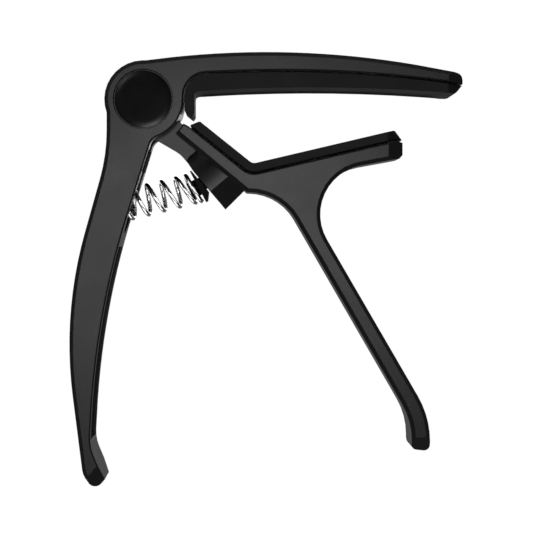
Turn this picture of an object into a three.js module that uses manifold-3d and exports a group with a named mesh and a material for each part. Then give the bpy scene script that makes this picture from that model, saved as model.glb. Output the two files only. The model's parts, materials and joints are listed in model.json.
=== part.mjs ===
// A spring-loaded guitar capo worked by one hand, in millimetres, +Z up.
// Two die-cast arms turn on one pivot along Y. The upper arm is the top bar, the round hub and the
// channelled thumb handle. The lower arm is the tongue inside the hub, the V-shaped jaw and the
// finger leg. A coil spring between the handle and the lower arm closes the jaw on the neck.

import * as THREE from 'three';
import { mergeVertices } from 'three/addons/utils/BufferGeometryUtils.js';
import Module from 'manifold-3d';

const wasm = await Module();
wasm.setup();

// ---- Driving dimensions, measured from the pivot -------------------------------------------------

const ARM_WIDTH = 16;          // upper casting, along Y
const JAW_INSET = 1;           // the lower casting is this much narrower on each side
const EDGE_CHAMFER = 0.85;     // broken edge along the outside of both castings' flanks
const SEAT_CHAMFER = 0.3;      // the same along the pads' seats and the handle's open side
const TIP_TAPER_LENGTH = 3.3;  // both flanks slope in over this length at each arm's ends
const TIP_TAPER_DEPTH = 2.4;
const FIT = 0.3;               // gap between pieces that touch or turn on each other

const BAR_REACH = 70.7;        // pivot to the end of the top bar
const BAR_TIP_HEIGHT = 5.65;   // top corner of the bar's end
const SEAT_TIP_HEIGHT = 3.4;   // pad seat at the bar's end
const HANDLE_DROP = 85.6;      // pivot to the bottom of the thumb handle
const HANDLE_BEND = 0.5526 * HANDLE_DROP;
const LEG_DROP = 78;           // pivot to the bottom of the finger leg
const JAW_REACH = 57.5;        // pivot to the end of the lower jaw

const CROWN_RADIUS = 8.6;      // back and top of the hub
const HUB_RADIUS = 8.85;       // front and underside of the hub
const HUB_WALL = 1.65;         // wall between the tongue's slot and the hub's underside
const CROTCH_RADIUS = 2.4;     // fillet between the hub and the handle
const SHOULDER_GAP = 1.5;      // the full-width jaw starts this far outside the hub

const TONGUE_WIDTH = 5.2;
const PIN_RADIUS = 3;
const SCREW_RADIUS = 1.8;
const PIN_HEAD_OVERHANG = 2;   // head radius beyond the pin
const PIN_HEAD_HEIGHT = 1;
const BUSH_WALL = 0.9;
const WASHER_HEIGHT = 0.5;
const CAP_RADIUS = 6.3;
const CAP_HEIGHT = 0.7;
const CAP_SINK = 0.15;         // the cap's crown lies this far below the flank

const CHANNEL_WALL = 1.8;      // back and side walls of the thumb handle
const CHANNEL_TOP = -11;
const TOE_HEIGHT = 10.1;       // solid below the channel
const CHANNEL_BOTTOM = -HANDLE_DROP + TOE_HEIGHT;
const BOSS_TOP = -15.8;        // solid stretch of the handle that carries the spring
const BOSS_BOTTOM = -32.6;

const PAD_INSET = 0.4;         // each pad is this much narrower than its casting, on each side
const UPPER_PAD_THICKNESS = 3.7;
const HOOK_THICKNESS = 2.1;    // the pad's hook in front of the hub
const HOOK_DROP = 2.6;
const LOWER_PAD_THICKNESS = 2.1;

const SPRING_RADIUS = 3.8;     // outside of the coil
const WIRE_RADIUS = 0.5;
const SPRING_TURNS = 6.15;
const SPRING_PHASE = 0.38;     // turns from the top of the coil to the wire's first end
const CLOSED_TURNS = [0.75, 1]; // at the pocket and at the seat
const CLOSED_PITCH = 1.2;
const SPRING_START = new THREE.Vector2(-5.6, -23.6);
const SPRING_END = new THREE.Vector2(11.2, -19.35);
const POCKET_CLEARANCE = 0.7;  // around the coil, in the handle
const SEAT_TILT = THREE.MathUtils.degToRad(13.7);  // the seat's face, from square to the coil
const SEAT_PEG_RADIUS = 1.6;   // peg of the seat in the lower arm's block
const SEAT_PEG_LENGTH = 3;
const SEAT_LIP = 0.5;          // thickness of the seat below its wedge
const SPIGOT_ROOT = 0.5;       // length of peg and spigot inside the wedge
const SPIGOT_LENGTH = 2.6;
const SPIGOT_CLEARANCE = 0.9;   // the spigot stands square to the seat, so it leans inside the coil
const BLOCK_RIM = 2.2;         // half width of the block beyond the coil

const LEG_THICKNESS = 3.95;
const LEG_ANGLE = THREE.MathUtils.degToRad(29.8);
const LEG_START = new THREE.Vector2(38.1, -30);  // a point on the leg's middle line
const FOOT_REACH = 61.4;       // pivot to the middle of the upright foot
const FOOT_THICKNESS = 4.05;

// ---- Materials -----------------------------------------------------------------------------------

const PAINT = new THREE.MeshStandardMaterial({ color: 0x303031, roughness: 0.5, metalness: 0.1 });
const SILICONE = new THREE.MeshStandardMaterial({ color: 0x1b1b1c, roughness: 0.75, metalness: 0 });
const STEEL = new THREE.MeshStandardMaterial({ color: 0xb9babc, roughness: 0.3, metalness: 1 });
const CHROME = new THREE.MeshStandardMaterial({ color: 0xe4e5e7, roughness: 0.1, metalness: 1 });
const BRASS = new THREE.MeshStandardMaterial({ color: 0xb08d4a, roughness: 0.35, metalness: 1 });
const GLOSS = new THREE.MeshStandardMaterial({ color: 0x0b0b0c, roughness: 0.12, metalness: 0 });
const NYLON = new THREE.MeshStandardMaterial({ color: 0x202021, roughness: 0.6, metalness: 0 });

// ---- Outlines: runs of corners [x, z, radius] in the XZ plane ------------------------------------

const ARC_TOLERANCE = 0.04;
const LONGEST_CHORD = 3.5;

// Points along an arc, given its centre, radius and end angles in degrees.
function arcPoints(cx, cz, radius, from, to) {
  const sweep = THREE.MathUtils.degToRad(to - from);
  const byTolerance = 2 * Math.acos(1 - ARC_TOLERANCE / Math.max(radius, 4 * ARC_TOLERANCE));
  const step = Math.min(byTolerance, LONGEST_CHORD / radius);
  const count = Math.max(2, Math.ceil(Math.abs(sweep) / step));
  return Array.from({ length: count + 1 }, (_, i) => {
    const angle = THREE.MathUtils.degToRad(from) + (sweep * i) / count;
    return new THREE.Vector2(cx + radius * Math.cos(angle), cz + radius * Math.sin(angle));
  });
}

// Points along an open run of corners, with an arc in place of every corner that has a radius.
function roundRun(run) {
  const points = [];
  run.forEach(([x, z, radius = 0], i) => {
    const corner = new THREE.Vector2(x, z);
    if (radius === 0 || i === 0 || i === run.length - 1) {
      points.push(corner);
      return;
    }
    const back = new THREE.Vector2(run[i - 1][0], run[i - 1][1]).sub(corner).normalize();
    const ahead = new THREE.Vector2(run[i + 1][0], run[i + 1][1]).sub(corner).normalize();
    const half = Math.acos(THREE.MathUtils.clamp(back.dot(ahead), -1, 1)) / 2;
    const middle = back.clone().add(ahead).normalize();
    const centre = corner.clone().addScaledVector(middle, radius / Math.sin(half));
    const start = corner.clone().addScaledVector(back, radius / Math.tan(half)).sub(centre);
    const end = corner.clone().addScaledVector(ahead, radius / Math.tan(half)).sub(centre);
    const from = THREE.MathUtils.radToDeg(start.angle());
    let sweep = THREE.MathUtils.radToDeg(end.angle()) - from;
    if (sweep > 180) sweep -= 360;
    if (sweep < -180) sweep += 360;
    points.push(...arcPoints(centre.x, centre.y, radius, from, from + sweep));
  });
  return points;
}

// Moves a run of corners to its left by a distance; round corners stay concentric.
function offsetRun(run, distance) {
  const headings = run.slice(1).map(([x, z], i) => {
    return new THREE.Vector2(x - run[i][0], z - run[i][1]).normalize();
  });
  return run.map(([x, z, radius = 0], i) => {
    const before = headings[Math.max(0, i - 1)];
    const after = headings[Math.min(headings.length - 1, i)];
    const scale = distance / (1 + before.dot(after));
    const turnsLeft = before.cross(after) > 0;
    const movedRadius = turnsLeft ? radius - distance : radius + distance;
    return [
      x - (before.y + after.y) * scale,
      z + (before.x + after.x) * scale,
      radius > 0 ? Math.max(movedRadius, 0) : 0,
    ];
  });
}

// ---- Solids --------------------------------------------------------------------------------------

function toSolid(geometry) {
  geometry.deleteAttribute('normal');
  geometry.deleteAttribute('uv');
  const merged = mergeVertices(geometry, 1e-5);
  return new wasm.Manifold(new wasm.Mesh({
    numProp: 3,
    vertProperties: new Float32Array(merged.attributes.position.array),
    triVerts: new Uint32Array(merged.index.array),
  }));
}

function toMesh(solid, name, material) {
  const { vertProperties, triVerts } = solid.getMesh();
  const geometry = new THREE.BufferGeometry();
  geometry.setAttribute('position', new THREE.BufferAttribute(vertProperties, 3));
  geometry.setIndex(new THREE.BufferAttribute(triVerts, 1));
  geometry.computeVertexNormals();
  const mesh = new THREE.Mesh(geometry, material);
  mesh.name = name;
  return mesh;
}

// A plate with the given outline in XZ, centred on y = 0, with chamfered flank edges.
function plate(points, width, chamfer = 0) {
  const geometry = new THREE.ExtrudeGeometry(new THREE.Shape(points), {
    depth: width - 2 * chamfer,
    bevelEnabled: chamfer > 0,
    bevelThickness: chamfer,
    bevelSize: chamfer,
    bevelOffset: -chamfer,
    bevelSegments: 1,
  });
  geometry.translate(0, 0, chamfer - width / 2);
  geometry.rotateX(Math.PI / 2);
  return toSolid(geometry);
}

// A turned solid on the pivot axis; the profile is [radius, y] pairs, closed on the axis or on itself.
function turned(profile) {
  const points = profile.map(([radius, y]) => new THREE.Vector2(radius, y));
  const onAxis = profile[0][0] === 0;
  const closed = onAxis ? points : [...points, points[0].clone()];
  return toSolid(new THREE.LatheGeometry(closed, 40));
}

function disc(radius, yStart, yEnd) {
  return turned([[0, yStart], [radius, yStart], [radius, yEnd], [0, yEnd]]);
}

function ring(inner, outer, yStart, yEnd) {
  return turned([[inner, yStart], [outer, yStart], [outer, yEnd], [inner, yEnd]]);
}

// A cylinder that starts at a point in the XZ plane and runs along a heading in that plane.
function peg(start, heading, radius, length) {
  const geometry = new THREE.CylinderGeometry(radius, radius, length, 24);
  geometry.translate(0, length / 2, 0);
  geometry.rotateX(Math.PI / 2);
  geometry.rotateY(Math.atan2(heading.x, heading.y));
  geometry.translate(start.x, 0, start.y);
  return toSolid(geometry);
}

// Sweeps an outline of [along, y] points across the XZ plane, square to a heading from a start point.
function sweepAcross(points, start, heading, span) {
  const section = new THREE.Shape(points.map(([along, y]) => new THREE.Vector2(along, y)));
  const geometry = new THREE.ExtrudeGeometry(section, { depth: span, bevelEnabled: false });
  geometry.translate(0, 0, -span / 2);
  geometry.rotateY(-Math.atan2(heading.y, heading.x));
  geometry.translate(start.x, 0, start.y);
  return toSolid(geometry);
}

// What both flanks lose where an arm ends in a face through a point, square to a heading.
function tipTaper(end, heading, halfWidth) {
  const beyond = TIP_TAPER_LENGTH;
  const slope = [
    [-TIP_TAPER_LENGTH, halfWidth],
    [beyond, halfWidth - 2 * TIP_TAPER_DEPTH],
    [beyond, halfWidth + 1],
    [-TIP_TAPER_LENGTH, halfWidth + 1],
  ];
  const mirrored = slope.map(([along, y]) => [along, -y]);
  const span = 4 * ARM_WIDTH;
  return sweepAcross(slope, end, heading, span).add(sweepAcross(mirrored, end, heading, span));
}

// ---- Sizes shared by the pieces of the pivot -----------------------------------------------------

const FLANK = ARM_WIDTH / 2;
const WASHER_INNER_FACE = TONGUE_WIDTH / 2 + FIT;
const SLOT_HALF_WIDTH = WASHER_INNER_FACE + WASHER_HEIGHT + FIT;
const TONGUE_RADIUS = HUB_RADIUS - HUB_WALL - FIT;
const SHOULDER_RADIUS = HUB_RADIUS + SHOULDER_GAP;
const CAP_INNER_FACE = FLANK - CAP_SINK - CAP_HEIGHT;
const CAP_SEAT = CAP_INNER_FACE - FIT;
const HEAD_OUTER_FACE = CAP_SEAT - FIT / 2;
const HEAD_INNER_FACE = HEAD_OUTER_FACE - PIN_HEAD_HEIGHT;
const HEAD_SEAT = HEAD_INNER_FACE - FIT;
const HEAD_RADIUS = PIN_RADIUS + PIN_HEAD_OVERHANG;
const SLOT_STOP_ANGLE = -28;   // degrees; end wall of the hub's slot, where the tongue comes to rest

// ---- Upper arm -----------------------------------------------------------------------------------

// Underside of the bar and front of the hub, from the tip towards the hub, where the pad sits.
const UPPER_SEAT = [
  [BAR_REACH, SEAT_TIP_HEIGHT],
  [42, 7.05, 270],
  [HUB_RADIUS, 5.65, 5.2],
  [HUB_RADIUS, -HOOK_DROP],
];

// Back of the thumb handle, from the hub down to the toe.
const HANDLE_BACK = [
  [-8.08, -4],
  [-8.08, -12.3, 40],
  [-17.9, -HANDLE_BEND, HANDLE_BEND ** 2 / 24.6],
  [-13.35, -HANDLE_DROP + 2.7, 4],
];

// Open side of the thumb handle, from the hub down past the toe.
const HANDLE_FRONT = [
  [1.82, -8.92, CROTCH_RADIUS],
  [-10.26, -HANDLE_BEND, HANDLE_BEND ** 2 / 12.16],
  [-11.75, -HANDLE_DROP + 9, 9],
  [-7.9, -HANDLE_DROP],
];

// The toe's corner, which its rounding then brings up to the handle's full drop.
const TOE_RADIUS = 1.6;
const TOE_CORNER_DEPTH = 1.016;
const TOE = new THREE.Vector2(-10.7, -HANDLE_DROP - TOE_CORNER_DEPTH);
const TOE_HEADING = new THREE.Vector2(0.762, -0.648);
const BAR_TIP = new THREE.Vector2(BAR_REACH, SEAT_TIP_HEIGHT);
const ALONG_X = new THREE.Vector2(1, 0);
const FAR = 120;               // outside everything

// The upper arm is what two plates share: one has its outer edges, the other its inner edges.
function upperArm() {
  const toeRise = new THREE.Vector2(-TOE_HEADING.y, TOE_HEADING.x).multiplyScalar(HANDLE_DROP / 2);
  const outer = [
    ...roundRun([
      TOE.clone().add(toeRise).toArray(),
      [TOE.x, TOE.y, TOE_RADIUS],
      ...HANDLE_BACK.slice().reverse(),
    ]),
    ...arcPoints(0, 0, CROWN_RADIUS, 200, 92),
    ...roundRun([
      [0.6, CROWN_RADIUS],
      [33.3, 12.75, 195],
      [BAR_REACH, BAR_TIP_HEIGHT, 1.5],
      [BAR_REACH, -HANDLE_DROP / 2],
    ]),
  ];
  const hubFront = arcPoints(0, 0, HUB_RADIUS, 0, -70);
  const inner = [
    new THREE.Vector2(-FAR, FAR),
    new THREE.Vector2(FAR, FAR),
    new THREE.Vector2(FAR, SEAT_TIP_HEIGHT),
    ...roundRun([...UPPER_SEAT.slice(0, -1), [HUB_RADIUS, 0]]).slice(0, -1),
    ...hubFront,
    ...roundRun([hubFront[hubFront.length - 1].toArray(), ...HANDLE_FRONT]).slice(1),
    new THREE.Vector2(-7.9, -FAR),
    new THREE.Vector2(-FAR, -FAR),
  ];
  return plate(outer, ARM_WIDTH, EDGE_CHAMFER)
    .intersect(plate(inner, ARM_WIDTH, SEAT_CHAMFER))
    .subtract(tipTaper(BAR_TIP, ALONG_X, FLANK))
    .subtract(tipTaper(TOE, TOE_HEADING, FLANK))
    .subtract(handleChannel(CHANNEL_TOP, BOSS_TOP))
    .subtract(handleChannel(BOSS_BOTTOM, CHANNEL_BOTTOM))
    .subtract(springPocket())
    .subtract(tongueSlot())
    .subtract(pivotRecesses());
}

// The handle is a channel with its open side towards the leg; this is the stretch between two heights.
function handleChannel(top, bottom) {
  const inside = offsetRun(HANDLE_BACK, CHANNEL_WALL);
  const outline = [
    ...roundRun([[inside[0][0], 0], ...inside.slice(1)]),
    new THREE.Vector2(HUB_RADIUS, -HANDLE_DROP),
    new THREE.Vector2(HUB_RADIUS, 0),
  ];
  const band = new THREE.Box3(
    new THREE.Vector3(-3 * HUB_RADIUS, -FLANK + CHANNEL_WALL, bottom),
    new THREE.Vector3(HUB_RADIUS, FLANK - CHANNEL_WALL, top),
  );
  return plate(outline, ARM_WIDTH).intersect(block(band));
}

function block(box) {
  const size = box.getSize(new THREE.Vector3());
  const centre = box.getCenter(new THREE.Vector3());
  const geometry = new THREE.BoxGeometry(size.x, size.y, size.z);
  geometry.translate(centre.x, centre.y, centre.z);
  return toSolid(geometry);
}

const SPRING_AXIS = SPRING_END.clone().sub(SPRING_START).normalize();
const SEAT_FACE = SPRING_END.clone().addScaledVector(SPRING_AXIS, WIRE_RADIUS + FIT);

// A blind pocket in the handle's boss. It is taller than the coil, which swings as the jaw opens.
function springPocket() {
  const halfWidth = SPRING_RADIUS + POCKET_CLEARANCE;
  const swing = 1.6;
  const depth = 14;
  const floor = SPRING_START.clone().addScaledVector(SPRING_AXIS, -WIRE_RADIUS - FIT);
  const across = new THREE.Vector2(-SPRING_AXIS.y, SPRING_AXIS.x);
  const upper = peg(floor.clone().addScaledVector(across, swing), SPRING_AXIS, halfWidth, depth);
  const lower = peg(floor.clone().addScaledVector(across, -swing), SPRING_AXIS, halfWidth, depth);
  const corners = [
    floor.clone().addScaledVector(across, swing),
    floor.clone().addScaledVector(across, -swing),
    floor.clone().addScaledVector(across, -swing).addScaledVector(SPRING_AXIS, depth),
    floor.clone().addScaledVector(across, swing).addScaledVector(SPRING_AXIS, depth),
  ];
  return upper.add(lower).add(plate(corners, 2 * halfWidth));
}

// Room for the tongue inside the hub, open where the tongue leaves it and swings.
function tongueSlot() {
  const stop = THREE.MathUtils.degToRad(SLOT_STOP_ANGLE);
  const reach = 2 * SHOULDER_RADIUS;
  const mouth = [
    new THREE.Vector2(0, 0),
    new THREE.Vector2(reach * Math.cos(stop), reach * Math.sin(stop)),
    new THREE.Vector2(reach, -2 * HUB_RADIUS),
    new THREE.Vector2(-2, -2 * HUB_RADIUS),
    new THREE.Vector2(offsetRun(HANDLE_BACK, CHANNEL_WALL)[0][0], -HUB_RADIUS - FIT),
  ];
  return disc(TONGUE_RADIUS + FIT, -SLOT_HALF_WIDTH, SLOT_HALF_WIDTH)
    .add(plate(mouth, 2 * SLOT_HALF_WIDTH));
}

// Through bore, head seats and cap seats, the same from both flanks.
function pivotRecesses() {
  return disc(PIN_RADIUS + FIT, -ARM_WIDTH, ARM_WIDTH)
    .add(disc(HEAD_RADIUS + FIT, HEAD_SEAT, ARM_WIDTH))
    .add(disc(HEAD_RADIUS + FIT, -ARM_WIDTH, -HEAD_SEAT))
    .add(disc(CAP_RADIUS + FIT, CAP_SEAT, ARM_WIDTH))
    .add(disc(CAP_RADIUS + FIT, -ARM_WIDTH, -CAP_SEAT));
}

// ---- Lower arm -----------------------------------------------------------------------------------

const JAW_WIDTH = ARM_WIDTH - 2 * JAW_INSET;

// Top of the jaw, where the lower pad sits, from the hub to the jaw's end.
const LOWER_SEAT = [
  [10.05, -5.95],
  [23.57, -16.77, 4],
  [JAW_REACH - 1.3, -9.1],
];

// The corner where a line beside the leg's middle line meets the foot's upright face; the side is
// -1 on the handle's side and 1 on the other.
function footCorner(side) {
  const x = FOOT_REACH + (side * FOOT_THICKNESS) / 2;
  const fromMiddle = x - LEG_START.x - (side * LEG_THICKNESS) / 2 / Math.cos(LEG_ANGLE);
  return [x, LEG_START.y - fromMiddle / Math.tan(LEG_ANGLE)];
}

// As the upper arm, the jaw and leg are what a plate with outer and a plate with inner edges share.
function jawAndLeg() {
  const nearCorner = footCorner(-1);
  const farCorner = footCorner(1);
  const outer = roundRun([
    [-5, FAR],
    [-5, 2.67],
    [22.9, -20.5],
    [30.2, -20.5, 12],
    [...nearCorner, 16],
    [nearCorner[0], -LEG_DROP + 0.5, 1.2],
    [farCorner[0], -LEG_DROP, 1.2],
    [...farCorner, 20],
    [32.76, -17.4, 11],
    [JAW_REACH - 0.7, -13],
    [JAW_REACH, -12.2],
    [JAW_REACH, FAR],
  ]);
  const inner = [
    new THREE.Vector2(2.7, -FAR),
    ...arcPoints(0, 0, SHOULDER_RADIUS, -75, -31),
    ...roundRun([...LOWER_SEAT, [JAW_REACH, -9.5]]),
    new THREE.Vector2(FAR, -9.5),
    new THREE.Vector2(FAR, -FAR),
  ];
  const foot = new THREE.Vector2(FOOT_REACH, -LEG_DROP);
  const down = new THREE.Vector2(0, -1);
  return plate(outer, JAW_WIDTH, EDGE_CHAMFER)
    .intersect(plate(inner, JAW_WIDTH, SEAT_CHAMFER))
    .subtract(tipTaper(new THREE.Vector2(JAW_REACH, 0), ALONG_X, JAW_WIDTH / 2))
    .subtract(tipTaper(foot, down, JAW_WIDTH / 2));
}

function lowerArm() {
  return jawAndLeg()
    .add(tongue())
    .add(springBlock())
    .subtract(disc(PIN_RADIUS + BUSH_WALL + 2 * FIT, -TONGUE_WIDTH, TONGUE_WIDTH))
    .subtract(peg(onBlockFace(SEAT_FACE, -FIT), INTO_BLOCK, SEAT_PEG_RADIUS + FIT, SEAT_PEG_LENGTH));
}

// The thin web that runs from inside the hub to the underside of the jaw.
function tongue() {
  const web = roundRun([
    [5.6, -3.3],
    [8.4, -5.1],
    [12, -8],
    [17, -13],
    [12, -15.6],
    [10.4, -14.7],
    [7.9, -11.7, 6],
    [3.3, -9],
    [-1.2, -6.4],
  ]);
  return disc(TONGUE_RADIUS, -TONGUE_WIDTH / 2, TONGUE_WIDTH / 2)
    .add(plate(web, TONGUE_WIDTH));
}

// ---- Spring seat and the block behind it ---------------------------------------------------------

const BLOCK_FACE_TOP = new THREE.Vector2(10.7, -15.4);
const BLOCK_FACE_BOTTOM = new THREE.Vector2(18.1, -24.2);
const BLOCK_FACE_RUN = BLOCK_FACE_BOTTOM.clone().sub(BLOCK_FACE_TOP).normalize();
const INTO_BLOCK = new THREE.Vector2(-BLOCK_FACE_RUN.y, BLOCK_FACE_RUN.x);

// The point nearest to a given one on a line this far into the block from its lower left face.
function onBlockFace(point, depth) {
  const along = point.clone().sub(BLOCK_FACE_TOP).dot(BLOCK_FACE_RUN);
  return BLOCK_FACE_TOP.clone()
    .addScaledVector(BLOCK_FACE_RUN, along)
    .addScaledVector(INTO_BLOCK, depth);
}

// A lug under the jaw; the spring's seat lies against its lower left face. From the web it rises in
// a step and two slopes to a flat, and it falls away again at its far end.
function springBlock() {
  const outline = roundRun([
    [BLOCK_FACE_TOP.x, BLOCK_FACE_TOP.y],
    [9.4, -13.4],
    [11.6, -9.9],
    [23.4, -18.8],
    [21.7, -20.65],
    [BLOCK_FACE_BOTTOM.x, BLOCK_FACE_BOTTOM.y],
  ]);
  const flat = SPRING_RADIUS + BLOCK_RIM;
  const front = [
    [-2.7, -flat + 2.9],
    [0, -flat + 1.1],
    [2.5, -flat],
    [6.4, -flat],
    [10.6, -flat + 2.6],
    [12.5, -flat + 4.6],
  ];
  const rear = front.map(([along, y]) => [along, -y]).reverse();
  return plate(outline, ARM_WIDTH)
    .intersect(sweepAcross([...front, ...rear], BLOCK_FACE_TOP, BLOCK_FACE_RUN, 2 * ARM_WIDTH));
}

// A wedge between the block and the coil's end, with a peg in the block and a spigot in the coil.
function springSeat() {
  const down = new THREE.Vector2(SPRING_AXIS.y, -SPRING_AXIS.x)
    .rotateAround(new THREE.Vector2(0, 0), SEAT_TILT);
  const top = SEAT_FACE.clone().addScaledVector(down, -SPRING_RADIUS);
  const bottom = SEAT_FACE.clone().addScaledVector(down, SPRING_RADIUS);
  const outward = new THREE.Vector2(down.y, -down.x);
  const wedge = plate([
    top,
    bottom,
    bottom.clone().addScaledVector(outward, -SEAT_LIP),
    onBlockFace(SEAT_FACE.clone().addScaledVector(down, 0.65 * SPRING_RADIUS), -FIT),
    onBlockFace(top, -FIT),
  ], 2 * SPRING_RADIUS);
  const spigotStart = SEAT_FACE.clone().addScaledVector(outward, -SPIGOT_ROOT);
  const spigotRadius = SPRING_RADIUS - 2 * WIRE_RADIUS - SPIGOT_CLEARANCE;
  const spigot = peg(spigotStart, outward, spigotRadius, SPIGOT_LENGTH);
  const backPeg = peg(onBlockFace(SEAT_FACE, -FIT - SPIGOT_ROOT), INTO_BLOCK, SEAT_PEG_RADIUS,
    SEAT_PEG_LENGTH);
  return wedge.add(spigot).add(backPeg);
}

// ---- Soft pads -----------------------------------------------------------------------------------

function upperPad() {
  const back = offsetRun(UPPER_SEAT, FIT);
  const width = ARM_WIDTH - 2 * PAD_INSET;
  const hookX = HUB_RADIUS + FIT + HOOK_THICKNESS;
  return plate([
    ...roundRun(back),
    ...roundRun([
      [hookX - 0.5, -HOOK_DROP - 1.3],
      [hookX, -HOOK_DROP - 0.6],
      [hookX, 5.65 - FIT - UPPER_PAD_THICKNESS, 0.7],
      [41, 7.05 - UPPER_PAD_THICKNESS, 374],
      [BAR_REACH - 1.7, 1.2, 1.2],
      [BAR_REACH - 0.4, SEAT_TIP_HEIGHT - 0.6],
    ]),
  ], width).subtract(tipTaper(BAR_TIP, ALONG_X, width / 2));
}

function lowerPad() {
  const width = JAW_WIDTH - 2 * PAD_INSET;
  const inner = offsetRun(LOWER_SEAT, FIT);
  const outer = offsetRun(LOWER_SEAT, FIT + LOWER_PAD_THICKNESS);
  const first = outer[0];
  const last = outer[outer.length - 1];
  return plate([
    ...roundRun(inner),
    new THREE.Vector2(JAW_REACH, -9),
    ...roundRun([last, outer[1], [first[0] + 0.9, first[1] - 0.72]]),
  ], width).subtract(tipTaper(new THREE.Vector2(JAW_REACH, 0), ALONG_X, width / 2));
}

// ---- Spring --------------------------------------------------------------------------------------

const COIL_LENGTH = SPRING_START.distanceTo(SPRING_END);

// How far along its axis the wire has come after a number of turns; both ends are wound closed.
function coilAdvance(turn) {
  const [closedFirst, closedLast] = CLOSED_TURNS;
  const openTurns = SPRING_TURNS - closedFirst - closedLast;
  const openPitch = (COIL_LENGTH - CLOSED_PITCH * (closedFirst + closedLast)) / openTurns;
  const openTurn = THREE.MathUtils.clamp(turn - closedFirst, 0, openTurns);
  return CLOSED_PITCH * (turn - openTurn) + openPitch * openTurn;
}

// The coil's turns lean more and more from the pocket to the wedge, whose face isn't square to it.
class Helix extends THREE.Curve {
  getPoint(t) {
    const axis = new THREE.Vector3(SPRING_AXIS.x, 0, SPRING_AXIS.y);
    const side = new THREE.Vector3(-SPRING_AXIS.y, 0, SPRING_AXIS.x);
    const turn = SPRING_TURNS * t;
    const angle = 2 * Math.PI * (turn + SPRING_PHASE);
    const radius = SPRING_RADIUS - WIRE_RADIUS;
    const lift = radius * Math.cos(angle);
    const along = coilAdvance(turn);
    const lean = (-lift * Math.tan(SEAT_TILT) * along) / COIL_LENGTH;
    return new THREE.Vector3(SPRING_START.x, 0, SPRING_START.y)
      .addScaledVector(axis, along + lean)
      .addScaledVector(side, lift)
      .add(new THREE.Vector3(0, -radius * Math.sin(angle), 0));
  }
}

function spring() {
  const section = new THREE.Shape(arcPoints(0, 0, WIRE_RADIUS, 0, 360).slice(0, -1));
  const steps = Math.round(16 * SPRING_TURNS);
  return toSolid(new THREE.ExtrudeGeometry(section, { steps, extrudePath: new Helix() }));
}

// ---- Pivot ---------------------------------------------------------------------------------------

// A headed barrel through the hub, tapped for the screw that closes it from the rear.
function pivotBarrel() {
  return disc(HEAD_RADIUS, -HEAD_OUTER_FACE, -HEAD_INNER_FACE)
    .add(disc(PIN_RADIUS, -HEAD_OUTER_FACE + FIT, HEAD_SEAT - FIT))
    .subtract(disc(SCREW_RADIUS + FIT, -WASHER_INNER_FACE - FIT, ARM_WIDTH));
}

function pivotScrew() {
  const driver = new THREE.CylinderGeometry(1.6, 1.6, 2 * FIT, 6);
  driver.translate(0, HEAD_OUTER_FACE, 0);
  return disc(HEAD_RADIUS, HEAD_INNER_FACE, HEAD_OUTER_FACE)
    .add(disc(SCREW_RADIUS, -WASHER_INNER_FACE, HEAD_INNER_FACE + FIT))
    .subtract(toSolid(driver));
}

function pivotBush() {
  const inner = PIN_RADIUS + FIT;
  return ring(inner, inner + BUSH_WALL, -TONGUE_WIDTH / 2, TONGUE_WIDTH / 2);
}

// side is -1 for the front and 1 for the rear
function thrustWasher(side) {
  const faces = [side * WASHER_INNER_FACE, side * (WASHER_INNER_FACE + WASHER_HEIGHT)];
  return ring(PIN_RADIUS + FIT, TONGUE_RADIUS - FIT, Math.min(...faces), Math.max(...faces));
}

// A domed disc pressed into the hub over the head of the pin.
function hubCap(side) {
  const crown = FLANK - CAP_SINK;
  const profile = [
    [0, CAP_INNER_FACE],
    [CAP_RADIUS, CAP_INNER_FACE],
    [CAP_RADIUS, crown - 0.35],
    [CAP_RADIUS - 0.5, crown - 0.15],
    [CAP_RADIUS * 0.55, crown - 0.04],
    [0, crown],
  ];
  const mirrored = profile.map(([radius, y]) => [radius, -y]).reverse();
  return turned(side > 0 ? profile : mirrored);
}

// ---- Assembly ------------------------------------------------------------------------------------

const capo = new THREE.Group();
capo.add(
  toMesh(upperArm(), 'upper_arm', PAINT),
  toMesh(lowerArm(), 'lower_arm', PAINT),
  toMesh(upperPad(), 'upper_pad', SILICONE),
  toMesh(lowerPad(), 'lower_pad', SILICONE),
  toMesh(pivotBarrel(), 'pivot_barrel', STEEL),
  toMesh(pivotScrew(), 'pivot_screw', STEEL),
  toMesh(pivotBush(), 'pivot_bush', BRASS),
  toMesh(thrustWasher(-1), 'front_thrust_washer', NYLON),
  toMesh(thrustWasher(1), 'rear_thrust_washer', NYLON),
  toMesh(hubCap(-1), 'front_hub_cap', GLOSS),
  toMesh(hubCap(1), 'rear_hub_cap', GLOSS),
  toMesh(spring(), 'spring', CHROME),
  toMesh(springSeat(), 'spring_seat', NYLON),
);

// The origin is the middle of the bottom of the closed capo's box.
const bounds = new THREE.Box3().setFromObject(capo);
const middle = bounds.getCenter(new THREE.Vector3());
capo.position.set(-middle.x, -middle.y, -bounds.min.z);

const group = new THREE.Group();
group.add(capo);

export default group;
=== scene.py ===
"""A spring-loaded guitar capo: satin black castings, silicone pads and a chromed coil spring."""
import json
from math import cos, pi, radians, sin, sqrt, tan

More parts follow.
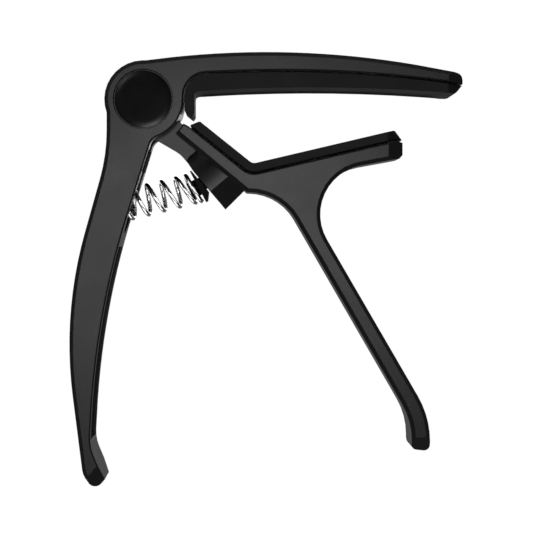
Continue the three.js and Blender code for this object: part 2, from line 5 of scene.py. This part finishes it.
import bpy
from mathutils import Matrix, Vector


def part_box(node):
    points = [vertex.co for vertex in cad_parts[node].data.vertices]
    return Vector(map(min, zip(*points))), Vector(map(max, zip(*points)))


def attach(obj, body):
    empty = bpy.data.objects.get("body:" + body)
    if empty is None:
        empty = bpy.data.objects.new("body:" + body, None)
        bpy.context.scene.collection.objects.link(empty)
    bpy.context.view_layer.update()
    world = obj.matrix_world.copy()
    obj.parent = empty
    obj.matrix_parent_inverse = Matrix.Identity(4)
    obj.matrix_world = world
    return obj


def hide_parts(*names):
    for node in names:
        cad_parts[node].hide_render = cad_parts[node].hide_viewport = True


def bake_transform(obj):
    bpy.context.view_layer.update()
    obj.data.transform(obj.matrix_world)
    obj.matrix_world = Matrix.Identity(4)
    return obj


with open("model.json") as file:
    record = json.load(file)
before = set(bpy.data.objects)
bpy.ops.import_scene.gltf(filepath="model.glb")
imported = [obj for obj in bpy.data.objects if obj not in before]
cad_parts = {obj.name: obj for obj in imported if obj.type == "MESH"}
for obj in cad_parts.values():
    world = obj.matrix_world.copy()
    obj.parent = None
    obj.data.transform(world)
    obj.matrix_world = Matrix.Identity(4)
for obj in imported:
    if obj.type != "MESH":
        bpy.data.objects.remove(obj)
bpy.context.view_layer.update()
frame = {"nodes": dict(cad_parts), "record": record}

# ---- Camera ---------------------------------------------------------------------------------------
# A long lens looks square at the front flank, from just below the top bar. Places in this scene are
# given in millimetres from the middle of the pivot, where most sizes of a capo start.
MM = 0.001
PIVOT = Vector(frame["record"]["behaviour"]["joints"][0]["pos_m"])


def at_pivot(x, y, z):
    """A point given in millimetres from the middle of the pivot."""
    return PIVOT + MM * Vector((x, y, z))


bpy.ops.object.camera_add(location=at_pivot(20.5, -356, -30.8), rotation=(pi / 2, 0, 0))
camera = bpy.context.object
camera.data.lens = 106.8
camera.data.sensor_width = 36
camera.data.shift_x = 0.057
camera.data.shift_y = -0.052
camera.data.clip_start = 0.01
bpy.context.scene.camera = camera

# ---- Studio light ---------------------------------------------------------------------------------
# One round softbox hangs round the lens, so flat faces shine and broken edges, which look past it,
# stay dark. A weaker one lights the rear, and soft fills bring out the paint's own grey. The room is
# bright behind the object and dim in front.
ROOM_BEHIND = 0.19
ROOM_IN_FRONT = 0.045
world = bpy.data.worlds.new("studio")
world.use_nodes = True
bpy.context.scene.world = world
bpy.context.scene.view_settings.view_transform = "Standard"
room = world.node_tree
direction = room.nodes.new("ShaderNodeTexCoord")
parts = room.nodes.new("ShaderNodeSeparateXYZ")
room.links.new(direction.outputs["Generated"], parts.inputs["Vector"])
depth = room.nodes.new("ShaderNodeMapRange")
depth.interpolation_type = "SMOOTHSTEP"
depth.inputs["From Min"].default_value = 0.35
depth.inputs["From Max"].default_value = 0.9
depth.inputs["To Min"].default_value = ROOM_IN_FRONT
depth.inputs["To Max"].default_value = ROOM_BEHIND
room.links.new(parts.outputs["Y"], depth.inputs["Value"])
light_path = room.nodes.new("ShaderNodeLightPath")
eye_or_room = room.nodes.new("ShaderNodeMix")
eye_or_room.data_type = "RGBA"
eye_or_room.inputs["B"].default_value = (1, 1, 1, 1)
room.links.new(light_path.outputs["Is Camera Ray"], eye_or_room.inputs["Factor"])
room.links.new(depth.outputs["Result"], eye_or_room.inputs["A"])
room.links.new(eye_or_room.outputs["Result"], room.nodes["Background"].inputs["Color"])


def softbox(name, place, aim, size, power, shape="RECTANGLE"):
    """An area light at a place, turned to face a point, both in millimetres from the pivot."""
    bpy.ops.object.light_add(type="AREA", location=at_pivot(*place))
    lamp = bpy.context.object
    lamp.name = name
    lamp.data.shape = shape
    lamp.data.size, lamp.data.size_y = size
    lamp.data.energy = power
    lamp.visible_camera = False
    lamp.rotation_euler = (at_pivot(*aim) - at_pivot(*place)).to_track_quat("-Z", "Y").to_euler()
    return lamp


# The lens softbox would fill a domed cap from edge to edge, so the caps are left out of it.
NOT_ON_CAPS = bpy.data.collections.new("lens_softbox_skips")
lens_softbox = softbox("lens_softbox", (-2, -1100, -28), (15, 0, -30), (0.33, 0.33), 0.9, "DISK")
lens_softbox.light_linking.receiver_collection = NOT_ON_CAPS
softbox("left_strip", (-500, -330, 120), (0, 0, -30), (0.12, 0.6), 0.35)
softbox("rear_softbox", (60, 1000, 160), (15, 0, -30), (0.4, 0.4), 0.6, "DISK")
for fill, place, power in (
    ("top", (40, -250, 800), 3.5),
    ("low", (40, -150, -900), 3.5),
    ("rear_left", (-700, 700, 300), 9),
    ("rear_right", (700, 700, 300), 9),
):
    lamp = softbox(fill + "_fill", place, (20, 0, -40), (0.8, 0.8), power)
    lamp.visible_glossy = False

# ---- Castings: the upper arm and the lower arm ----------------------------------------------------
# Zinc die castings, tumbled so that every edge is slightly rounded, then powder-coated satin black.
# The upper arm is bar, hub and thumb handle in one; the lower arm is tongue, jaw and finger leg.
CASTING_EDGE_RADIUS = 0.14 * MM
# Width of the lighter edge band: partly rubbed wear, partly a painted edge highlight.
WORN_AND_LIT_EDGE_WIDTH = 0.25 * MM
GRAIN_HEIGHT = 0.05 * MM


def grain_and_patches():
    """A group for coated and moulded surfaces: fine grain, and broad patches of thicker finish."""
    group = bpy.data.node_groups.new("grain_and_patches", "ShaderNodeTree")
    group.interface.new_socket("Vector", in_out="INPUT", socket_type="NodeSocketVector")
    start = group.nodes.new("NodeGroupInput")
    end = group.nodes.new("NodeGroupOutput")
    for effect, detail in (("Grain", 3), ("Patches", 5)):
        group.interface.new_socket(effect + " Scale", in_out="INPUT", socket_type="NodeSocketFloat")
        group.interface.new_socket(effect, in_out="OUTPUT", socket_type="NodeSocketFloat")
        noise = group.nodes.new("ShaderNodeTexNoise")
        noise.inputs["Detail"].default_value = detail
        noise.inputs["Roughness"].default_value = 0.6
        group.links.new(start.outputs["Vector"], noise.inputs["Vector"])
        group.links.new(start.outputs[effect + " Scale"], noise.inputs["Scale"])
        group.links.new(noise.outputs["Fac"], end.inputs[effect])
    return group


def edge_wear_and_highlight():
    """A group whose mask is white on edges and broken up unevenly. The lighter edges it gives are
    partly rubbed wear and partly a painted edge highlight.
    """
    group = bpy.data.node_groups.new("edge_wear_and_highlight", "ShaderNodeTree")
    group.interface.new_socket("Vector", in_out="INPUT", socket_type="NodeSocketVector")
    group.interface.new_socket("Width", in_out="INPUT", socket_type="NodeSocketFloat")
    group.interface.new_socket("Amount", in_out="INPUT", socket_type="NodeSocketFloat")
    group.interface.new_socket("Worn And Lit", in_out="OUTPUT", socket_type="NodeSocketFloat")
    start = group.nodes.new("NodeGroupInput")
    end = group.nodes.new("NodeGroupOutput")
    soft = group.nodes.new("ShaderNodeBevel")
    soft.samples = 6
    group.links.new(start.outputs["Width"], soft.inputs["Radius"])
    flat = group.nodes.new("ShaderNodeNewGeometry")
    same = group.nodes.new("ShaderNodeVectorMath")
    same.operation = "DOT_PRODUCT"
    group.links.new(soft.outputs["Normal"], same.inputs[0])
    group.links.new(flat.outputs["Normal"], same.inputs[1])
    edge = group.nodes.new("ShaderNodeMapRange")
    edge.inputs["From Min"].default_value = 0.995
    edge.inputs["From Max"].default_value = 0.8
    group.links.new(same.outputs["Value"], edge.inputs["Value"])
    edge_breakup = group.nodes.new("ShaderNodeTexNoise")
    edge_breakup.inputs["Scale"].default_value = 260
    edge_breakup.inputs["Detail"].default_value = 4
    group.links.new(start.outputs["Vector"], edge_breakup.inputs["Vector"])
    broken = group.nodes.new("ShaderNodeMapRange")
    broken.inputs["From Min"].default_value = 0.25
    broken.inputs["From Max"].default_value = 0.75
    group.links.new(edge_breakup.outputs["Fac"], broken.inputs["Value"])
    on_edge = group.nodes.new("ShaderNodeMath")
    on_edge.operation = "MULTIPLY"
    group.links.new(edge.outputs["Result"], on_edge.inputs[0])
    group.links.new(broken.outputs["Result"], on_edge.inputs[1])
    scaled = group.nodes.new("ShaderNodeMath")
    scaled.operation = "MULTIPLY"
    group.links.new(on_edge.outputs["Value"], scaled.inputs[0])
    group.links.new(start.outputs["Amount"], scaled.inputs[1])
    group.links.new(scaled.outputs["Value"], end.inputs["Worn And Lit"])
    return group


GRAIN_AND_PATCHES = grain_and_patches()
EDGE_WEAR_AND_HIGHLIGHT = edge_wear_and_highlight()


def finish(name, dark, light, worn_and_lit, roughness, grain_scale, patch_scale, bump, wear_and_highlight, metallic=0.0,
           specular=0.5):
    """A material whose colour and roughness drift with the patches, whose grain stands in relief and
    whose edges are lightened towards the edge colour, partly as rubbed wear and partly as a painted
    edge highlight. Colours are linear, roughness is (low, high)."""
    made = bpy.data.materials.new(name)
    made.use_nodes = True
    tree = made.node_tree
    shader = tree.nodes["Principled BSDF"]
    shader.inputs["Metallic"].default_value = metallic
    shader.inputs["Specular IOR Level"].default_value = specular
    where = tree.nodes.new("ShaderNodeTexCoord")
    marks = tree.nodes.new("ShaderNodeGroup")
    marks.node_tree = GRAIN_AND_PATCHES
    marks.inputs["Grain Scale"].default_value = grain_scale
    marks.inputs["Patches Scale"].default_value = patch_scale
    tree.links.new(where.outputs["Object"], marks.inputs["Vector"])
    rubbed_and_lit = tree.nodes.new("ShaderNodeGroup")
    rubbed_and_lit.node_tree = EDGE_WEAR_AND_HIGHLIGHT
    rubbed_and_lit.inputs["Width"].default_value = WORN_AND_LIT_EDGE_WIDTH
    rubbed_and_lit.inputs["Amount"].default_value = wear_and_highlight
    tree.links.new(where.outputs["Object"], rubbed_and_lit.inputs["Vector"])
    coat = tree.nodes.new("ShaderNodeMix")
    coat.data_type = "RGBA"
    coat.inputs["A"].default_value = (*dark, 1)
    coat.inputs["B"].default_value = (*light, 1)
    tree.links.new(marks.outputs["Patches"], coat.inputs["Factor"])
    # Edges are lightened towards the edge colour: partly rubbed wear, partly a painted edge
    # highlight.
    colour = tree.nodes.new("ShaderNodeMix")
    colour.data_type = "RGBA"
    colour.inputs["B"].default_value = (*worn_and_lit, 1)
    tree.links.new(rubbed_and_lit.outputs["Worn And Lit"], colour.inputs["Factor"])
    tree.links.new(coat.outputs["Result"], colour.inputs["A"])
    tree.links.new(colour.outputs["Result"], shader.inputs["Base Color"])
    polish = tree.nodes.new("ShaderNodeMapRange")
    polish.inputs["From Min"].default_value = 0.3
    polish.inputs["From Max"].default_value = 0.7
    polish.inputs["To Min"].default_value = roughness[0]
    polish.inputs["To Max"].default_value = roughness[1]
    tree.links.new(marks.outputs["Patches"], polish.inputs["Value"])
    tree.links.new(polish.outputs["Result"], shader.inputs["Roughness"])
    relief = tree.nodes.new("ShaderNodeBump")
    relief.inputs["Strength"].default_value = bump
    relief.inputs["Distance"].default_value = GRAIN_HEIGHT
    tree.links.new(marks.outputs["Grain"], relief.inputs["Height"])
    tree.links.new(relief.outputs["Normal"], shader.inputs["Normal"])
    return made


# The paint's lighter edge colour is partly rubbed paint and partly a painted edge highlight.
PAINT = finish(
    "satin_black_paint",
    dark=(0.013, 0.013, 0.0135), light=(0.02, 0.02, 0.0207), worn_and_lit=(0.055, 0.055, 0.057),
    roughness=(0.25, 0.31), grain_scale=3000, patch_scale=60, bump=0.03, wear_and_highlight=0.35,
)


def copy_of(node, name):
    """A new piece with a node's surface, its shared corners merged and its flat faces whole again."""
    bpy.ops.object.select_all(action="DESELECT")
    piece = bpy.data.objects.new(name, frame["nodes"][node].data.copy())
    bpy.context.collection.objects.link(piece)
    piece.data.materials.clear()
    bpy.context.view_layer.objects.active = piece
    piece.select_set(True)
    bpy.ops.object.mode_set(mode="EDIT")
    bpy.ops.mesh.select_all(action="SELECT")
    bpy.ops.mesh.remove_doubles(threshold=1e-6)
    bpy.ops.mesh.customdata_custom_splitnormals_clear()
    bpy.ops.mesh.dissolve_limited(angle_limit=radians(0.6))
    bpy.ops.mesh.select_all(action="DESELECT")
    bpy.ops.object.mode_set(mode="OBJECT")
    return piece


def round_edges(piece, radius, angle=24):
    """Rounds every edge sharper than the angle, then shades the piece smooth over its broad faces."""
    bpy.context.view_layer.objects.active = piece
    rounding = piece.modifiers.new("rounding", "BEVEL")
    rounding.width = radius
    rounding.segments = 3
    rounding.limit_method = "ANGLE"
    rounding.angle_limit = radians(angle)
    bpy.ops.object.modifier_apply(modifier=rounding.name)
    bpy.ops.object.select_all(action="DESELECT")
    piece.select_set(True)
    bpy.ops.object.shade_smooth_by_angle(angle=radians(35))
    weights = piece.modifiers.new("weights", "WEIGHTED_NORMAL")
    weights.keep_sharp = True
    bpy.ops.object.modifier_apply(modifier=weights.name)


for node, body in (("upper_arm", "upper"), ("lower_arm", "lower")):
    casting = copy_of(node, node + "_casting")
    round_edges(casting, CASTING_EDGE_RADIUS)
    casting.data.materials.append(PAINT)
    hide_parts(node)
    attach(casting, body)

# ---- Upper pad ------------------------------------------------------------------------------------
# A moulded silicone strip glued under the bar, hooked down in front of the hub. Its underside is
# cambered and has a shallow recess between two rims, where the strings press in.
RECESS_RIM = 1.3 * MM
RECESS_DEPTH = 0.5 * MM
RECESS_END_MARGIN = 4.2 * MM
HOOK_END = 11.9                # millimetres from the pivot to where the recess may start
UPPER_PAD_EDGE_RADIUS = 0.35 * MM
# The silicone's lighter edge colour is partly rubbing and partly a painted edge highlight.
SILICONE = finish(
    "black_silicone",
    dark=(0.013, 0.013, 0.0135), light=(0.02, 0.02, 0.0205), worn_and_lit=(0.032, 0.032, 0.033),
    roughness=(0.48, 0.6), grain_scale=1500, patch_scale=110, bump=0.2, wear_and_highlight=0.3,
    specular=0.35,
)
upper_pad = copy_of("upper_pad", "upper_pad_silicone")
recess_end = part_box("upper_pad")[1][0] - RECESS_END_MARGIN
bpy.ops.object.mode_set(mode="EDIT")
bpy.ops.mesh.select_mode(type="FACE")
bpy.ops.mesh.select_all(action="SELECT")
bpy.ops.mesh.bisect(plane_co=(recess_end, 0, 0), plane_no=(1, 0, 0))
bpy.ops.mesh.select_all(action="DESELECT")
bpy.ops.object.mode_set(mode="OBJECT")
for face in upper_pad.data.polygons:
    inside = at_pivot(HOOK_END, 0, 0).x < face.center.x < recess_end
    face.select = face.normal.z < -0.97 and inside
bpy.ops.object.mode_set(mode="EDIT")
bpy.ops.mesh.inset(thickness=RECESS_RIM, depth=-RECESS_DEPTH)
bpy.ops.mesh.select_all(action="DESELECT")
bpy.ops.object.mode_set(mode="OBJECT")
round_edges(upper_pad, UPPER_PAD_EDGE_RADIUS, angle=20)
upper_pad.data.materials.append(SILICONE)
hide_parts("upper_pad")
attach(upper_pad, "upper")

# ---- Lower pad ------------------------------------------------------------------------------------
# The same silicone in an even strip, bent along the V of the jaw and glued into it.
LOWER_PAD_EDGE_RADIUS = 0.3 * MM
lower_pad = copy_of("lower_pad", "lower_pad_silicone")
round_edges(lower_pad, LOWER_PAD_EDGE_RADIUS, angle=20)
lower_pad.data.materials.append(SILICONE)
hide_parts("lower_pad")
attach(lower_pad, "lower")

# ---- Coil spring ----------------------------------------------------------------------------------
# Chromed music wire, wound open with closed ends. One end stands in the handle's pocket and the
# other on the wedge-shaped seat, whose face isn't square to the coil, so the turns lean over to it.
WIRE_RADIUS = 0.5 * MM
COIL_RADIUS = 3.3 * MM
COIL_START = at_pivot(-5.6, 0, -23.6)
COIL_END = at_pivot(11.2, 0, -19.35)
COIL_LEAN = radians(13.7)
COIL_TURNS = 6.15
COIL_PHASE = 0.38
CLOSED_AT_POCKET = 0.75
CLOSED_AT_SEAT = 1.0
CLOSED_PITCH = 1.2 * MM
SCREW_TURNS = 7                # turns of the plain helix that is then wound to its real pitch
STEPS_PER_TURN = 40

bpy.ops.object.select_all(action="DESELECT")
bpy.ops.mesh.primitive_plane_add(size=0.001, location=(0, 0, 0))
spring = bpy.context.object
spring.name = "spring_wire"
bpy.ops.object.mode_set(mode="EDIT")
bpy.ops.mesh.merge(type="CENTER")
bpy.ops.transform.translate(value=(COIL_RADIUS, 0, 0))
bpy.ops.object.mode_set(mode="OBJECT")
winding = spring.modifiers.new("winding", "SCREW")
winding.axis = "Z"
winding.steps = STEPS_PER_TURN
winding.render_steps = STEPS_PER_TURN
winding.iterations = SCREW_TURNS
winding.screw_offset = 1.0
winding.use_merge_vertices = False
bpy.ops.object.modifier_apply(modifier=winding.name)

coil_axis = (COIL_END - COIL_START).normalized()
coil_side = Vector((-coil_axis.z, 0, coil_axis.x))
coil_length = (COIL_END - COIL_START).length
open_turns = COIL_TURNS - CLOSED_AT_POCKET - CLOSED_AT_SEAT
open_pitch = (coil_length - CLOSED_PITCH * (CLOSED_AT_POCKET + CLOSED_AT_SEAT)) / open_turns
for vertex in spring.data.vertices:
    turn = vertex.co.z * COIL_TURNS / SCREW_TURNS
    open_turn = min(max(turn - CLOSED_AT_POCKET, 0), open_turns)
    along = CLOSED_PITCH * (turn - open_turn) + open_pitch * open_turn
    angle = 2 * pi * (turn + COIL_PHASE)
    lift = COIL_RADIUS * cos(angle)
    lean = -lift * tan(COIL_LEAN) * along / coil_length
    vertex.co = (COIL_START + coil_axis * (along + lean) + coil_side * lift
                 + Vector((0, -COIL_RADIUS * sin(angle), 0)))
bpy.ops.object.convert(target="CURVE")
spring.data.bevel_depth = WIRE_RADIUS
spring.data.bevel_resolution = 5
spring.data.use_fill_caps = True
bpy.ops.object.convert(target="MESH")
spring = bpy.context.object
bpy.ops.object.shade_smooth_by_angle(angle=radians(40))
CHROME = finish(
    "chromed_wire",
    dark=(0.8, 0.8, 0.81), light=(0.9, 0.9, 0.91), worn_and_lit=(0.9, 0.9, 0.91),
    roughness=(0.12, 0.2), grain_scale=1500, patch_scale=400, bump=0.05, wear_and_highlight=0.0, metallic=1.0,
)
# Polished wire needs bright cards round it. They would wash out the paint, so they light it alone.
SPRING_CARDS = bpy.data.collections.new("lit_by_spring_cards")
SPRING_CARDS.objects.link(spring)
for card, place in (
    ("left", (-300, -160, -20)),
    ("right", (320, -160, -20)),
    ("front", (0, -420, -120)),
    ("low", (5, -40, -330)),
    ("rear", (0, 400, 40)),
):
    lamp = softbox("spring_card_" + card, place, (4, 0, -21), (0.34, 0.34), 0.6)
    lamp.light_linking.receiver_collection = SPRING_CARDS
spring.data.materials.append(CHROME)
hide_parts("spring")
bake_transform(spring)

# ---- Spring seat ----------------------------------------------------------------------------------
# A moulded nylon wedge pegged into the lower arm's block, with a spigot that centres the coil.
NYLON = finish(
    "black_nylon",
    dark=(0.004, 0.004, 0.004), light=(0.007, 0.007, 0.0073), worn_and_lit=(0.02, 0.02, 0.02),
    roughness=(0.4, 0.5), grain_scale=1400, patch_scale=150, bump=0.15, wear_and_highlight=0.3, specular=0.15,
)
SEAT_EDGE_RADIUS = 0.25 * MM
seat = copy_of("spring_seat", "spring_seat_wedge")
round_edges(seat, SEAT_EDGE_RADIUS, angle=30)
seat.data.materials.append(NYLON)
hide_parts("spring_seat")
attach(seat, "lower")

# ---- Pivot ----------------------------------------------------------------------------------------
# A turned steel barrel and the screw that closes it, a brass bush pressed into the tongue
# and two thin nylon washers. They are hidden under the hub caps and inside the hub.
STEEL = finish(
    "turned_steel",
    dark=(0.42, 0.42, 0.43), light=(0.56, 0.56, 0.57), worn_and_lit=(0.7, 0.7, 0.71),
    roughness=(0.25, 0.4), grain_scale=2200, patch_scale=200, bump=0.1, wear_and_highlight=0.5, metallic=1.0,
)
BRASS = finish(
    "turned_brass",
    dark=(0.5, 0.35, 0.14), light=(0.62, 0.45, 0.2), worn_and_lit=(0.75, 0.58, 0.3),
    roughness=(0.28, 0.42), grain_scale=2200, patch_scale=200, bump=0.1, wear_and_highlight=0.5, metallic=1.0,
)
for node, material in (
    ("pivot_barrel", STEEL),
    ("pivot_screw", STEEL),
    ("pivot_bush", BRASS),
    ("front_thrust_washer", NYLON),
    ("rear_thrust_washer", NYLON),
):
    frame["nodes"][node].material_slots[0].material = material

# ---- Hub caps -------------------------------------------------------------------------------------
# A black disc under a clear domed resin skin, pressed into the hub on each flank. The resin rounds
# over at the rim and is nearly flat in the middle.
DOME_RINGS = 8
DOME_SHARE = 0.55              # share of the cap's height that is dome and not skirt
DOME_REACH = 0.9               # share of the radius that the rings cover
GLOSS = finish(
    "domed_black_resin",
    dark=(0.004, 0.004, 0.0045), light=(0.007, 0.007, 0.0075), worn_and_lit=(0.012, 0.012, 0.012),
    roughness=(0.26, 0.34), grain_scale=900, patch_scale=200, bump=0.02, wear_and_highlight=0.15, specular=0.3,
)
CAP_CARDS = bpy.data.collections.new("lit_by_cap_cards")
for card, place, power in (("low", (60, -330, -200), 0.44), ("high", (-190, -300, 210), 0.17)):
    lamp = softbox("cap_card_" + card, place, (0, 0, 0), (0.16, 0.16), power, "DISK")
    lamp.light_linking.receiver_collection = CAP_CARDS
for node, outward in (("front_hub_cap", -1), ("rear_hub_cap", 1)):
    low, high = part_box(node)
    centre = (Vector(low) + Vector(high)) / 2
    cap_radius = (high[0] - low[0]) / 2
    crown = DOME_SHARE * (high[1] - low[1])
    skirt = (high[1] - low[1]) - crown
    bpy.ops.object.select_all(action="DESELECT")
    bpy.ops.mesh.primitive_cylinder_add(
        vertices=96, radius=cap_radius, depth=skirt,
        location=centre - Vector((0, outward * crown / 2, 0)), rotation=(pi / 2, 0, 0))
    bpy.ops.object.transform_apply()
    cap = bpy.context.object
    cap.name = node + "_dome"
    bpy.ops.object.mode_set(mode="EDIT")
    bpy.ops.mesh.select_mode(type="FACE")
    bpy.ops.mesh.select_all(action="DESELECT")
    bpy.ops.object.mode_set(mode="OBJECT")
    for face in cap.data.polygons:
        face.select = face.normal.y * outward > 0.9
    bpy.ops.object.mode_set(mode="EDIT")
    # steep at the rim and flat in the middle
    for ring in range(DOME_RINGS):
        before, after = ring / DOME_RINGS, (ring + 1) / DOME_RINGS
        rise = crown * (sqrt(1 - (1 - after) ** 4) - sqrt(1 - (1 - before) ** 4))
        bpy.ops.mesh.inset(thickness=DOME_REACH * cap_radius / DOME_RINGS)
        bpy.ops.transform.translate(value=(0, outward * rise, 0))
    bpy.ops.mesh.select_all(action="DESELECT")
    bpy.ops.object.mode_set(mode="OBJECT")
    bpy.ops.object.shade_smooth_by_angle(angle=radians(50))
    cap.data.materials.append(GLOSS)
    NOT_ON_CAPS.objects.link(cap)
    NOT_ON_CAPS.collection_objects[-1].light_linking.link_state = "EXCLUDE"
    CAP_CARDS.objects.link(cap)
    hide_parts(node)
    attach(cap, "upper")
